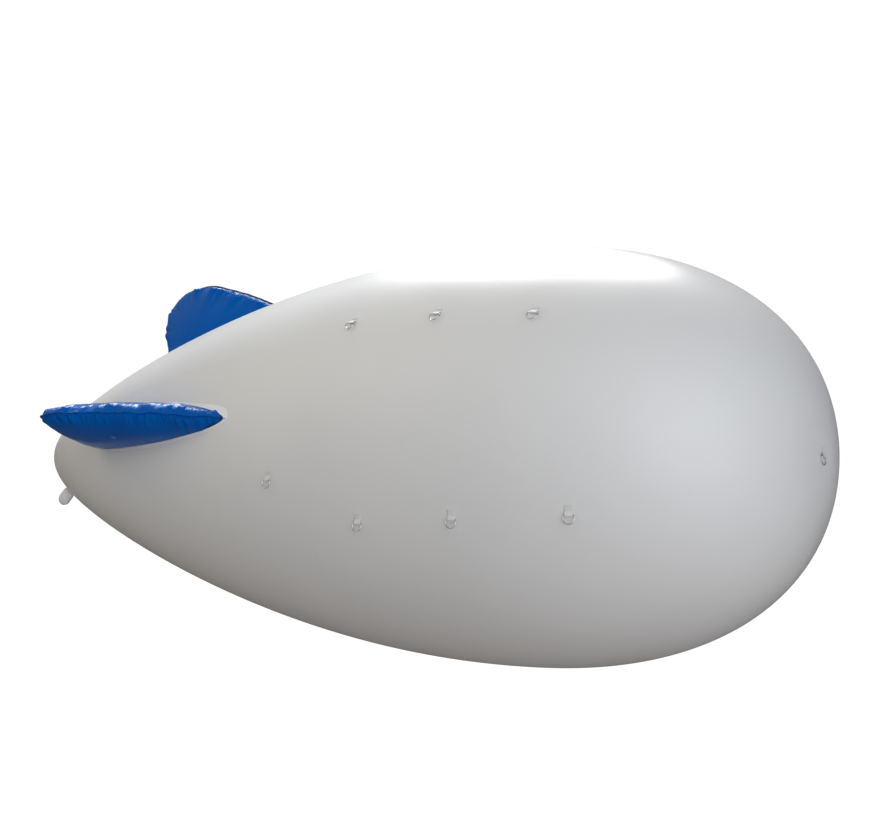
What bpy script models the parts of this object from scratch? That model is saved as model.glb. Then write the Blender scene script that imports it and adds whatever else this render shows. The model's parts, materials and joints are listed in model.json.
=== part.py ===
"""Advertising blimp balloon: an inflated hull of eight gores closed by a nose disc and a tail dome,
three air-filled fins, a filling sleeve, and D-rings on webbing patches.

Metres. +X points to the nose, +Y to port, +Z up. The origin is on the hull's axis, at its centre of buoyancy.
A place on the hull is given by its station x and its clock angle, from the side's horizontal up to the top.
"""
import bpy
import bmesh
from math import asin, atan2, cos, degrees, hypot, pi, radians, sin, sqrt
from mathutils import Matrix, Vector

# Hull
HULL_RADIUS = 1.10
NOSE_LENGTH = 1.463 * HULL_RADIUS      # widest section to the nose
NOSE_POWER = 2.326                     # 2 is an ellipse, more is blunter
TAIL_LENGTH = 3.104 * HULL_RADIUS      # widest section to the tail's end
TAIL_HUMP = (0.5, -0.604, -0.006)      # swells the after body beyond a parabola
WIDEST_X = 0.475                       # puts the centre of buoyancy on the origin
NOSE_X = WIDEST_X + NOSE_LENGTH
TAIL_X = WIDEST_X - TAIL_LENGTH
WALL = 0.010
SEAT_GAP = 0.0003                      # left between pieces that touch

# Hull panels
GORES = 8
GORE_STEPS = 7                         # odd, so that no edge of the hull lies in a fin's mid-plane
FIRST_SEAM = radians(22.5)
SEAM_ANGLE = radians(0.03)
NOSE_DISC_RADIUS = 0.150
TAIL_DOME_X = WIDEST_X - 2.87 * HULL_RADIUS
AFT_STATIONS = 12
NOSE_STATIONS = 9
CAP_STATIONS = 5

# Fins: name, clock of the fin round the axis in degrees, station of its front end, side that holds its valve
FINS = (
    ("fin_port", 0.6, -0.810, -1),
    ("fin_starboard", 179.4, -0.810, 1),
    ("fin_top", 90.0, -1.160, -1),
)
FIN_AFT_X = WIDEST_X - 2.454 * HULL_RADIUS
FIN_TIP_X = WIDEST_X - 2.179 * HULL_RADIUS
FIN_TIP_RADIUS = 0.971 * HULL_RADIUS
FIN_CORNER_RADIUS = 0.809 * HULL_RADIUS  # where the trailing edge starts to round
FIN_CORNER_POWER = 1.73                # 2 is an ellipse, less cuts the corner
FIN_FRONT_POWER = 1.37
FIN_SWELL = 0.145                      # half thickness that an endless fin would reach
FIN_SWELL_SPAN = 0.12
FIN_FULLEST = 0.28                     # part of the span where the fin is thickest
FIN_ROOT_PINCH = 0.48
FIN_FRONT_SINK = 0.032                 # how far the leading edge runs on below the hull's surface
FIN_ROOT_DEPTH = 0.08
FIN_INSET = 0.022                      # cavity's edge inside the seam
FIN_CHORD_STEPS = 14
FIN_SPAN_STEPS = 8
VALVE_X = WIDEST_X - 1.964 * HULL_RADIUS
VALVE_SPAN_RADIUS = 0.809 * HULL_RADIUS
VALVE_STEM_RADIUS = 0.008
VALVE_FLANGE_RADIUS = 0.013
VALVE_FLANGE = 0.004
VALVE_LIFT = 0.0015
VALVE_STEM = 0.016

# Filling sleeve, on the tail dome's underside
SLEEVE_HULL_RADIUS = 0.196             # distance of its root from the hull's axis
SLEEVE_RADIUS = 0.037
SLEEVE_NECK = 0.030
SLEEVE_WALL = 0.004
SLEEVE_REACH = 0.114
SLEEVE_INSIDE = 0.030
TIE_AT = 0.020
TIE_WIRE = 0.004

# Mooring rings and their patches
PATCH_RADIUS = 0.070
PATCH_THICKNESS = 0.003
STRAP_WIDTH = 0.044
STRAP_THICKNESS = 0.0025
STRAP_LENGTH = 0.052
LOOP_SKIN = 0.002
PIN_CLEARANCE = 0.0004
RING_WIRE = 0.0050                     # diameter
RING_WIDTH = 0.0550                    # between the wire's centres
RING_CORNER = 0.006
RING_DEPTH = 0.0400                    # bar's centre to the bow's centre line
BAR_HEIGHT = 0.0080                    # bar's centre above the patch

# Ring places: row, number from the tail, station x, clock in degrees
RINGS = (
    ("upper", 1, -0.109, 26.5),
    ("upper", 2, 0.419, 26.7),
    ("upper", 3, 0.959, 27.0),
    ("lower", 1, -0.508, -19.4),
    ("lower", 2, 0.081, -30.2),
    ("lower", 3, 0.643, -28.5),
    ("lower", 4, 1.236, -28.2),
)
SIDES = (("port", 1), ("starboard", -1))

COLOURS = {
    "hull_film": ((0.80, 0.80, 0.79), 0.25, 0.0),
    "disc_film": ((0.76, 0.76, 0.75), 0.28, 0.0),
    "fin_film": ((0.0, 0.07, 0.26), 0.28, 0.0),
    "patch_film": ((0.74, 0.74, 0.72), 0.35, 0.0),
    "ring_steel": ((0.62, 0.62, 0.62), 0.25, 1.0),
    "valve_plastic": ((0.02, 0.14, 0.42), 0.35, 0.0),
    "tie_cord": ((0.70, 0.69, 0.66), 0.80, 0.0),
}

model = None
cutters = None


def clear_scene():
    for obj in list(bpy.data.objects):
        bpy.data.objects.remove(obj)


def make_collections():
    global model, cutters
    model = bpy.data.collections.new("advertising_blimp")
    cutters = bpy.data.collections.new("cutters")
    bpy.context.scene.collection.children.link(model)
    bpy.context.scene.collection.children.link(cutters)


def material(slot):
    existing = bpy.data.materials.get(slot)
    if existing:
        return existing
    colour, roughness, metallic = COLOURS[slot]
    made = bpy.data.materials.new(slot)
    made.use_nodes = True
    shader = made.node_tree.nodes["Principled BSDF"]
    shader.inputs["Base Color"].default_value = (*colour, 1.0)
    shader.inputs["Roughness"].default_value = roughness
    shader.inputs["Metallic"].default_value = metallic
    return made


def add_piece(name, mesh, slot, matrix=None):
    obj = bpy.data.objects.new(name, mesh)
    model.objects.link(obj)
    mesh.materials.clear()
    mesh.materials.append(material(slot))
    if matrix is not None:
        obj.matrix_world = matrix
    return obj


def add_cutter(name, mesh, matrix=None):
    obj = bpy.data.objects.new(name, mesh)
    cutters.objects.link(obj)
    obj.hide_render = True
    obj.display_type = "WIRE"
    if matrix is not None:
        obj.matrix_world = matrix
    return obj


def mesh_of(bm, name):
    bmesh.ops.recalc_face_normals(bm, faces=bm.faces[:])
    mesh = bpy.data.meshes.new(name)
    bm.to_mesh(mesh)
    bm.free()
    mesh.shade_smooth()
    mesh.set_sharp_from_angle(angle=radians(35))
    return mesh


def boolean(obj, cutter, operation):
    modifier = obj.modifiers.new(cutter.name, "BOOLEAN")
    modifier.operation = operation
    modifier.solver = "EXACT"
    modifier.object = cutter


# The hull's outline

def hull_radius(x):
    if x >= WIDEST_X:
        part = min((x - WIDEST_X) / NOSE_LENGTH, 1.0)
        return HULL_RADIUS * (1.0 - part ** NOSE_POWER) ** (1.0 / NOSE_POWER)
    part = min((WIDEST_X - x) / TAIL_LENGTH, 1.0)
    swell = 1.0 + sum(k * part ** (i + 1) for i, k in enumerate(TAIL_HUMP))
    return HULL_RADIUS * sqrt(1.0 - part) * swell


def station_where(radius, low, high):
    """Station between low, where the hull is thinner, and high, where the radius is reached."""
    for _ in range(60):
        middle = 0.5 * (low + high)
        if hull_radius(middle) < radius:
            low = middle
        else:
            high = middle
    return 0.5 * (low + high)


NOSE_DISC_X = station_where(NOSE_DISC_RADIUS, NOSE_X, WIDEST_X)
SLEEVE_X = station_where(SLEEVE_HULL_RADIUS, TAIL_X, WIDEST_X)


def outline_normal(x):
    """Outward normal (along X, along the radius) of the hull's outline."""
    step = 1e-4
    low, high = max(x - step, TAIL_X + 1e-9), min(x + step, NOSE_X - 1e-9)
    slope = (hull_radius(high) - hull_radius(low)) / (high - low)
    length = hypot(1.0, slope)
    return -slope / length, 1.0 / length


def body_stations():
    """Stations from the tail dome's rim to the nose disc's rim, closer where the outline bends more."""
    aft_turn = asin((WIDEST_X - TAIL_DOME_X) / TAIL_LENGTH)
    nose_turn = asin((NOSE_DISC_X - WIDEST_X) / NOSE_LENGTH)
    aft = [WIDEST_X - TAIL_LENGTH * sin(aft_turn * (1 - i / AFT_STATIONS)) for i in range(AFT_STATIONS)]
    nose = [WIDEST_X + NOSE_LENGTH * sin(nose_turn * i / NOSE_STATIONS) for i in range(NOSE_STATIONS + 1)]
    return aft + nose


def cap_stations(rim_x, pole_x):
    """Stations from a cap's rim to its pole, evenly spaced in radius."""
    rim = hull_radius(rim_x)
    inner = [station_where(rim * (1 - i / CAP_STATIONS), pole_x, WIDEST_X) for i in range(1, CAP_STATIONS)]
    return [rim_x] + inner


def outline_points(stations, offset=0.0):
    points = []
    for x in stations:
        along, out = outline_normal(x)
        points.append((x + offset * along, hull_radius(x) + offset * out))
    return points


def turned(points, closed, start, sweep, steps):
    """Surface that the outline sweeps about the X axis, from the start angle."""
    bm = bmesh.new()
    turn = Matrix.Rotation(start, 4, "X")
    verts = [bm.verts.new(turn @ Vector((x, r, 0.0))) for x, r in points]
    for a, b in zip(verts, verts[1:]):
        bm.edges.new((a, b))
    if closed:
        bm.edges.new((verts[-1], verts[0]))
    full = abs(sweep - 2 * pi) < 1e-6
    bmesh.ops.spin(bm, geom=bm.verts[:] + bm.edges[:], cent=(0, 0, 0), axis=(1, 0, 0), dvec=(0, 0, 0),
                   angle=sweep, steps=steps, use_merge=full, use_duplicate=False)
    bmesh.ops.remove_doubles(bm, verts=bm.verts[:], dist=1e-6)
    if not full:
        bmesh.ops.holes_fill(bm, edges=[e for e in bm.edges if e.is_boundary], sides=0)
    return bm


def hull_solid(offset, name):
    """The whole hull as one closed solid, with the same facets as the panels, for cutting what sits on it."""
    stations = body_stations()
    tail = cap_stations(TAIL_DOME_X, TAIL_X)[:0:-1]
    nose = cap_stations(NOSE_DISC_X, NOSE_X)[1:]
    points = [(TAIL_X - offset, 0.0)] + outline_points(tail + stations + nose, offset) + [(NOSE_X + offset, 0.0)]
    bm = turned(points, False, FIRST_SEAM, 2 * pi, GORES * GORE_STEPS)
    return mesh_of(bm, name)


def build_gores():
    stations = body_stations()
    outer = outline_points(stations)
    inner = outline_points(stations, -WALL)
    sweep = 2 * pi / GORES
    for k in range(GORES):
        start = FIRST_SEAM + k * sweep + SEAM_ANGLE / 2
        bm = turned(outer + inner[::-1], True, start, sweep - SEAM_ANGLE, GORE_STEPS)
        add_piece(f"gore_{k + 1}", mesh_of(bm, f"gore_{k + 1}"), "hull_film")


def build_cap(name, rim_x, pole_x):
    """A cap whose rim faces the gores' ends across the seat gap."""
    stations = cap_stations(rim_x, pole_x)
    toward = 1.0 if pole_x > rim_x else -1.0
    along, out = outline_normal(rim_x)
    shift = (toward * out * SEAT_GAP, -toward * along * SEAT_GAP)
    outer = outline_points(stations) + [(pole_x, 0.0)]
    inner = outline_points(stations, -WALL) + [(pole_x - toward * WALL, 0.0)]
    outer[0] = (outer[0][0] + shift[0], outer[0][1] + shift[1])
    inner[0] = (inner[0][0] + shift[0], inner[0][1] + shift[1])
    bm = turned(outer[::-1] + inner, False, FIRST_SEAM, 2 * pi, GORES * GORE_STEPS)
    return add_piece(name, mesh_of(bm, name), "disc_film")


# Fins

def fin_outer(x, front_x, inset):
    """Distance of the fin's seam from the hull's axis."""
    tip = FIN_TIP_RADIUS - inset
    aft_x = FIN_AFT_X + inset
    corner = FIN_CORNER_RADIUS - inset
    if x < FIN_TIP_X:
        part = min(max((FIN_TIP_X - x) / (FIN_TIP_X - aft_x), 0.0), 1.0)
        return corner + (tip - corner) * (1 - part ** FIN_CORNER_POWER) ** (1 / FIN_CORNER_POWER)
    part = (x - FIN_TIP_X) / (front_x - FIN_TIP_X)
    return tip - (tip - hull_radius(front_x) + FIN_FRONT_SINK) * part ** FIN_FRONT_POWER


def fin_half_thickness(x, rho, front_x):
    """The fin is fullest near the hull, narrows a little to its root, and closes at its seam."""
    root = hull_radius(x) - FIN_ROOT_DEPTH
    span = fin_outer(x, front_x, 0.0) - root
    out = min(max((rho - root) / span, 0.0), 1.0)
    chord = min(max((x - FIN_AFT_X) / (front_x - FIN_AFT_X), 0.0), 1.0)
    across = sqrt(max(1 - (2 * chord ** 0.8 - 1) ** 2, 0.0))
    if out < FIN_FULLEST:
        along = 1 - FIN_ROOT_PINCH * (1 - out / FIN_FULLEST) ** 2
    else:
        along = sqrt(1 - ((out - FIN_FULLEST) / (1 - FIN_FULLEST)) ** 2)
    return FIN_SWELL * across * along * span / (span + FIN_SWELL_SPAN)


def fin_solid(name, front_x, inset, root_depth):
    """Pillow of two skins that meet at the seam, closed inside the hull. Fin lies in the XY plane."""
    aft_x = FIN_AFT_X + inset
    last_x = front_x - 1.5 * inset
    wall = WALL if inset else 0.0
    bm = bmesh.new()
    bmesh.ops.create_grid(bm, x_segments=FIN_CHORD_STEPS, y_segments=FIN_SPAN_STEPS, size=1.0)
    for v in bm.verts:
        chord = 0.5 - 0.5 * cos(pi * (v.co.x + 1) / 2)
        span = sin(pi / 2 * (v.co.y + 1) / 2)
        x = aft_x + (last_x - aft_x) * chord
        root = hull_radius(x) - root_depth
        rho = root + (fin_outer(x, front_x, inset) - root) * span
        edge = chord < 1e-6 or chord > 1 - 1e-6 or span > 1 - 1e-6
        v.co = (x, rho, 0.0 if edge else max(fin_half_thickness(x, rho, front_x) - wall, 0.001))
    bmesh.ops.mirror(bm, geom=bm.verts[:] + bm.edges[:] + bm.faces[:], matrix=Matrix.Identity(4),
                     merge_dist=1e-6, axis="Z")
    bmesh.ops.remove_doubles(bm, verts=bm.verts[:], dist=1e-6)
    bmesh.ops.holes_fill(bm, edges=[e for e in bm.edges if e.is_boundary], sides=0)
    return mesh_of(bm, name)


def fin_skin_frame(front_x, side):
    """Place on the fin's skin for its valve: the skin's point with its normal as the local Z."""
    step = 0.004

    def skin(x, rho):
        return Vector((x, rho, side * fin_half_thickness(x, rho, front_x)))

    point = skin(VALVE_X, VALVE_SPAN_RADIUS)
    along = skin(VALVE_X + step, VALVE_SPAN_RADIUS) - skin(VALVE_X - step, VALVE_SPAN_RADIUS)
    out = skin(VALVE_X, VALVE_SPAN_RADIUS + step) - skin(VALVE_X, VALVE_SPAN_RADIUS - step)
    normal = along.cross(out).normalized() * side
    along = along.normalized()
    return Matrix.Translation(point) @ Matrix((along, normal.cross(along), normal)).transposed().to_4x4()


def cylinder_mesh(name, radius, length, segments=20):
    bm = bmesh.new()
    bmesh.ops.create_cone(bm, cap_ends=True, segments=segments, radius1=radius, radius2=radius, depth=length)
    return mesh_of(bm, name)


def turned_about_z(points, segments):
    bm = bmesh.new()
    verts = [bm.verts.new((r, 0.0, z)) for r, z in points]
    for a, b in zip(verts, verts[1:]):
        bm.edges.new((a, b))
    bmesh.ops.spin(bm, geom=bm.verts[:] + bm.edges[:], cent=(0, 0, 0), axis=(0, 0, 1), dvec=(0, 0, 0),
                   angle=2 * pi, steps=segments, use_merge=True, use_duplicate=False)
    bmesh.ops.remove_doubles(bm, verts=bm.verts[:], dist=1e-6)
    return bm


def build_fins(hull_cutter):
    for name, clock, front_x, valve_side in FINS:
        turn = Matrix.Rotation(radians(clock), 4, "X")
        fin = add_piece(name, fin_solid(name, front_x, 0.0, FIN_ROOT_DEPTH), "fin_film", turn)
        cavity = add_cutter(name + "_cavity", fin_solid(name + "_cavity", front_x, FIN_INSET, 1.6 * FIN_ROOT_DEPTH), turn)
        place = turn @ fin_skin_frame(front_x, valve_side)
        hole = add_cutter(name + "_hole", cylinder_mesh(name + "_hole", VALVE_STEM_RADIUS + SEAT_GAP, 0.05), place)
        boolean(fin, cavity, "DIFFERENCE")
        boolean(fin, hole, "DIFFERENCE")
        boolean(fin, hull_cutter, "DIFFERENCE")
        valve = turned_about_z(((0.0, -VALVE_STEM), (VALVE_STEM_RADIUS, -VALVE_STEM), (VALVE_STEM_RADIUS, VALVE_LIFT),
                                (VALVE_FLANGE_RADIUS, VALVE_LIFT), (VALVE_FLANGE_RADIUS, VALVE_LIFT + VALVE_FLANGE),
                                (0.0, VALVE_LIFT + VALVE_FLANGE)), 20)
        add_piece(name.replace("fin_", "fin_valve_"), mesh_of(valve, name + "_valve"), "valve_plastic", place)


# Filling sleeve

def build_sleeve(tail_dome):
    along, out = outline_normal(SLEEVE_X)
    z_axis = Vector((along, 0.0, -out))
    y_axis = Vector((0.0, 1.0, 0.0))
    x_axis = y_axis.cross(z_axis)
    root = Vector((SLEEVE_X, 0.0, -hull_radius(SLEEVE_X)))
    place = Matrix.Translation(root) @ Matrix((x_axis, y_axis, z_axis)).transposed().to_4x4()
    place = place @ Matrix.Rotation(radians(4), 4, "Z")  # keeps the hole's edges off the dome's own
    hole = add_cutter("sleeve_hole", cylinder_mesh("sleeve_hole", SLEEVE_RADIUS + SEAT_GAP, 0.08, 24), place)
    boolean(tail_dome, hole, "DIFFERENCE")

    bulb = SLEEVE_REACH - SLEEVE_RADIUS
    dome = [(SLEEVE_RADIUS * cos(a), bulb + SLEEVE_RADIUS * sin(a)) for a in (i * pi / 10 for i in range(5))]
    outer = [(SLEEVE_RADIUS, -SLEEVE_INSIDE), (SLEEVE_RADIUS, TIE_AT - 0.012), (SLEEVE_NECK, TIE_AT - 0.003),
             (SLEEVE_NECK, TIE_AT + 0.003), (SLEEVE_RADIUS, TIE_AT + 0.014)] + dome + [(0.0, SLEEVE_REACH)]
    inner = [(r - SLEEVE_WALL, z) for r, z in outer[:5]]
    inner += [(r * (1 - SLEEVE_WALL / SLEEVE_RADIUS), bulb + (z - bulb) * (1 - SLEEVE_WALL / SLEEVE_RADIUS)) for r, z in dome]
    inner += [(0.0, SLEEVE_REACH - SLEEVE_WALL)]
    sleeve = turned_about_z(outer[::-1] + inner, 24)
    add_piece("fill_sleeve", mesh_of(sleeve, "fill_sleeve"), "hull_film", place)

    bpy.ops.mesh.primitive_torus_add(major_segments=24, minor_segments=8, minor_radius=TIE_WIRE / 2,
                                     major_radius=SLEEVE_NECK + TIE_WIRE / 2 + SEAT_GAP)
    tie = bpy.context.object
    tie.name = "sleeve_tie"
    tie.matrix_world = place @ Matrix.Translation((0, 0, TIE_AT))
    tie.users_collection[0].objects.unlink(tie)
    model.objects.link(tie)
    tie.data.materials.append(material("tie_cord"))


# Mooring rings

def facet_radius(x, angle):
    """Radius of the faceted hull at a station and an angle from +Y about the axis."""
    stations = body_stations()
    aft = max(i for i in range(len(stations) - 1) if stations[i] <= x)
    part = (x - stations[aft]) / (stations[aft + 1] - stations[aft])
    radius = (1 - part) * hull_radius(stations[aft]) + part * hull_radius(stations[aft + 1])
    step = 2 * pi / (GORES * GORE_STEPS)
    return radius * cos(step / 2) / cos((angle - FIRST_SEAM) % step - step / 2)


def seat_depth(x, clock):
    """How far a patch on the round hull stands off the facets under it."""
    steps = [PATCH_RADIUS * (i / 6 - 1) for i in range(13)]
    under = [(x + a, clock + b / hull_radius(x)) for a in steps for b in steps if hypot(a, b) <= PATCH_RADIUS]
    return min(hull_radius(a) - facet_radius(a, b) for a, b in under) - SEAT_GAP / 2


def hull_frame(x, clock, side):
    """Local X along the ring's bar, Y up round the hull, Z outward."""
    along, out = outline_normal(x)
    radial = Vector((0.0, side * cos(clock), sin(clock)))
    normal = Vector((along, 0.0, 0.0)) + out * radial
    upward = Vector((0.0, -side * sin(clock), cos(clock)))
    point = Vector((x, 0.0, 0.0)) + (hull_radius(x) - seat_depth(x, clock)) * radial
    return Matrix.Translation(point) @ Matrix((upward.cross(normal), upward, normal)).transposed().to_4x4()


def nose_frame():
    normal = Vector((1.0, 0.0, 0.0))
    upward = Vector((0.0, 0.0, 1.0))
    return Matrix.Translation((NOSE_X, 0, 0)) @ Matrix((upward.cross(normal), upward, normal)).transposed().to_4x4()


def lie_on_hull(point, lift):
    """The point moved along the hull's radius, or along X on the flat nose, to the given height over the hull."""
    radius = hypot(point.y, point.z)
    if radius < 0.5 * HULL_RADIUS and point.x > WIDEST_X:
        x = NOSE_X if radius < 1e-6 else station_where(radius, NOSE_X, WIDEST_X)
        return Vector((x + lift, point.y, point.z))
    along, out = outline_normal(point.x)
    reach = hull_radius(point.x) + lift / out
    return Vector((point.x, point.y * reach / radius, point.z * reach / radius))


def patch_mesh(name, frame, sink):
    """Round patch that follows the hull, in the frame's own axes."""
    bm = bmesh.new()
    verts = [bm.verts.new((PATCH_RADIUS * i / 2, 0.0, 0.0)) for i in range(3)]
    for a, b in zip(verts, verts[1:]):
        bm.edges.new((a, b))
    bmesh.ops.spin(bm, geom=bm.verts[:] + bm.edges[:], cent=(0, 0, 0), axis=(0, 0, 1), dvec=(0, 0, 0),
                   angle=2 * pi, steps=16, use_merge=True, use_duplicate=False)
    bmesh.ops.remove_doubles(bm, verts=bm.verts[:], dist=1e-6)
    bmesh.ops.recalc_face_normals(bm, faces=bm.faces[:])
    if sum(f.normal.z for f in bm.faces) < 0:
        bmesh.ops.reverse_faces(bm, faces=bm.faces[:])
    top = bmesh.ops.extrude_face_region(bm, geom=bm.faces[:], use_keep_orig=True)["geom"]
    raised = {v for v in top if isinstance(v, bmesh.types.BMVert)}
    back = frame.inverted()
    for v in bm.verts:
        lift = SEAT_GAP - sink + (PATCH_THICKNESS if v in raised else 0.0)
        v.co = back @ lie_on_hull(frame @ Vector((v.co.x, v.co.y, 0.0)), lift)
    return mesh_of(bm, name)


def tab_outline():
    """Webbing seen along the ring's bar: (up the hull, out from the patch), bar's centre at (0, BAR_HEIGHT)."""
    loop = RING_WIRE / 2 + PIN_CLEARANCE + LOOP_SKIN
    wrap = [(loop * cos(a), BAR_HEIGHT + loop * sin(a)) for a in (radians(70 + i * 25) for i in range(9))]
    return wrap + [(0.006, -0.0012), (STRAP_LENGTH, -0.0012), (STRAP_LENGTH, STRAP_THICKNESS), (0.022, STRAP_THICKNESS)]


def tab_mesh(name):
    """Webbing folded round the ring's bar, extruded across the strap's width."""
    curve = bpy.data.curves.new(name, "CURVE")
    curve.dimensions = "2D"
    curve.fill_mode = "BOTH"
    curve.extrude = STRAP_WIDTH / 2
    bore = RING_WIRE / 2 + PIN_CLEARANCE
    hole = [(bore * cos(a), BAR_HEIGHT + bore * sin(a)) for a in (i * pi / 6 for i in range(12))]
    for points in (tab_outline(), hole):
        spline = curve.splines.new("POLY")
        spline.points.add(len(points) - 1)
        for slot, (up, out) in zip(spline.points, points):
            slot.co = (up, out, 0.0, 1.0)
        spline.use_cyclic_u = True
    made = bpy.data.objects.new(name, curve)
    cutters.objects.link(made)
    mesh = bpy.data.meshes.new_from_object(made.evaluated_get(bpy.context.evaluated_depsgraph_get()))
    bpy.data.objects.remove(made)
    bm = bmesh.new()
    bm.from_mesh(mesh)
    bmesh.ops.remove_doubles(bm, verts=bm.verts[:], dist=1e-5)
    # outline's first axis becomes local Y, its second becomes local Z, and the width runs along X
    bm.transform(Matrix(((0, 0, 1, 0), (1, 0, 0, 0), (0, 1, 0, SEAT_GAP + PATCH_THICKNESS), (0, 0, 0, 1))))
    return mesh_of(bm, name)


def ring_mesh():
    """D-ring in its own axes: bar along X through the origin, bow towards -Y."""
    half = RING_WIDTH / 2
    bow = half
    points = [(-half + RING_CORNER, 0.0), (half - RING_CORNER, 0.0)]
    points += [(half - RING_CORNER * (1 - cos(a)), -RING_CORNER * (1 - sin(a))) for a in (pi / 4, 0.0)]
    points += [(bow * cos(a), -(RING_DEPTH - bow) - bow * sin(a)) for a in (i * pi / 10 for i in range(1, 10))]
    points += [(-half + RING_CORNER * (1 - cos(a)), -RING_CORNER * (1 - sin(a))) for a in (0.0, pi / 4)]
    curve = bpy.data.curves.new("ring", "CURVE")
    curve.dimensions = "3D"
    curve.fill_mode = "FULL"
    curve.bevel_depth = RING_WIRE / 2
    curve.bevel_resolution = 2
    spline = curve.splines.new("POLY")
    spline.points.add(len(points) - 1)
    for slot, (x, y) in zip(spline.points, points):
        slot.co = (x, y, 0.0, 1.0)
    spline.use_cyclic_u = True
    made = bpy.data.objects.new("ring_guide", curve)
    cutters.objects.link(made)
    mesh = bpy.data.meshes.new_from_object(made.evaluated_get(bpy.context.evaluated_depsgraph_get()))
    bpy.data.objects.remove(made)
    bm = bmesh.new()
    bm.from_mesh(mesh)
    bmesh.ops.remove_doubles(bm, verts=bm.verts[:], dist=1e-6)
    return mesh_of(bm, "d_ring")


def hang_angle(frame, clock):
    """Angle of a free ring from the hull: it hangs plumb below the side's horizontal, and lies on the hull above."""
    bar = frame.to_3x3().col[0]
    plumb = Vector((0, 0, -1)) + bar * bar.z
    local = frame.to_3x3().inverted() @ plumb
    return max(0.0, atan2(local.z, -local.y)) if clock < 0 else 0.0


def ring_places():
    """Every ring: name, frame on the hull, depth of its seat, and angle from the hull at rest."""
    places = [("nose", nose_frame(), 0.0, 0.0)]
    for side_name, side in SIDES:
        for row, number, x, clock in RINGS:
            frame = hull_frame(x, radians(clock), side)
            sink = seat_depth(x, radians(clock))
            places.append((f"{side_name}_{row}_{number}", frame, sink, hang_angle(frame, clock)))
    return places


def bar_frame(frame):
    return frame @ Matrix.Translation((0, 0, SEAT_GAP + PATCH_THICKNESS + BAR_HEIGHT))


def build_rings():
    tab = tab_mesh("webbing_tab")
    ring = ring_mesh()
    ring.materials.append(material("ring_steel"))
    for name, frame, sink, angle in ring_places():
        patch = add_piece("patch_" + name, patch_mesh("patch_" + name, frame, sink), "patch_film", frame)
        boolean(patch, add_cutter("tab_" + name, tab, frame), "UNION")
        obj = bpy.data.objects.new("ring_" + name, ring)
        model.objects.link(obj)
        obj.matrix_world = bar_frame(frame) @ Matrix.Rotation(-angle, 4, "X")


def build():
    clear_scene()
    make_collections()
    hull_cutter = add_cutter("hull_cutter", hull_solid(SEAT_GAP, "hull_cutter"))
    build_gores()
    build_cap("nose_disc", NOSE_DISC_X, NOSE_X)
    tail_dome = build_cap("tail_dome", TAIL_DOME_X, TAIL_X)
    build_fins(hull_cutter)
    build_sleeve(tail_dome)
    build_rings()


build()
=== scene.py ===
import json
from math import asin, atan2, cos, exp, hypot, pi, radians, sin, sqrt
import bpy
import bmesh
from mathutils import Matrix, Vector, kdtree, noise


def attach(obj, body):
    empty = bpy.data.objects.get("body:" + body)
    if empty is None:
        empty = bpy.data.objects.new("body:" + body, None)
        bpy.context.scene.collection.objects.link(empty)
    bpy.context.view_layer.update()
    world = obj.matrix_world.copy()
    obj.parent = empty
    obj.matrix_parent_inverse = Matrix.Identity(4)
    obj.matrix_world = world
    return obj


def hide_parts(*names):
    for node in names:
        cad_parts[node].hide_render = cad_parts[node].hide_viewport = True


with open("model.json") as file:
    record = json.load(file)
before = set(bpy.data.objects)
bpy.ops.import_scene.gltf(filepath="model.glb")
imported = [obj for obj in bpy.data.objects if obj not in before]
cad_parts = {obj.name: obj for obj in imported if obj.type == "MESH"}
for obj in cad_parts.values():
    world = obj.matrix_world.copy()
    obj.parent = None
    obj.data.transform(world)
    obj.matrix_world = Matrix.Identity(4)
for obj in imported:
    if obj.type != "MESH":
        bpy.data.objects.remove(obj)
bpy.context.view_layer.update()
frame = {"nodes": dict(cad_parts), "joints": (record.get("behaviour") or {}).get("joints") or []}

print("frame loaded:", len(frame["nodes"]), "nodes")

# Hull outline in metres: nose to +X, port to +Y, origin on the axis at the centre of buoyancy
hull = dict(
    radius=1.10, widestX=0.475, noseLength=1.6093, nosePower=2.326,
    tailLength=3.4144, tailHump=(0.5, -0.604, -0.006),
    gores=8, firstSeam=radians(22.5), noseDiscRadius=0.150, tailDomeX=-2.682,
    film=0.0012,
    columns=26, aftStations=60, noseStations=46, capRings=16,
    capColumns=12,                     # cells round a cap for each gore
    lapWidth=0.014, lapLift=0.0003,    # welded overlap of two panels
    lapRise=0.002,                     # run over which the lap climbs on its neighbour
    capLap=0.015, capLift=0.0006,
)
hull["noseX"] = hull["widestX"] + hull["noseLength"]
hull["tailX"] = hull["widestX"] - hull["tailLength"]


def hullRadius(x):
    if x >= hull["widestX"]:
        part = min((x - hull["widestX"]) / hull["noseLength"], 1.0)
        return hull["radius"] * (1.0 - part ** hull["nosePower"]) ** (1.0 / hull["nosePower"])
    part = min((hull["widestX"] - x) / hull["tailLength"], 1.0)
    swell = 1.0 + sum(k * part ** (i + 1) for i, k in enumerate(hull["tailHump"]))
    return hull["radius"] * sqrt(max(1.0 - part, 0.0)) * swell


def outlineNormal(x):
    low, high = max(x - 1e-4, hull["tailX"] + 1e-9), min(x + 1e-4, hull["noseX"] - 1e-9)
    slope = (hullRadius(high) - hullRadius(low)) / (high - low)
    length = hypot(1.0, slope)
    return -slope / length, 1.0 / length


def stationWhere(radius, low, high):
    # low is the thin end, high the thick one
    for _ in range(60):
        middle = 0.5 * (low + high)
        low, high = (middle, high) if hullRadius(middle) < radius else (low, middle)
    return 0.5 * (low + high)


def onHull(x, angle, lift=0.0):
    along, out = outlineNormal(x)
    reach = hullRadius(x) + lift * out
    return Vector((x + lift * along, reach * cos(angle), reach * sin(angle)))


def easeIn(value, low, high):
    part = min(max((value - low) / (high - low), 0.0), 1.0)
    return part * part * (3 - 2 * part)


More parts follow.
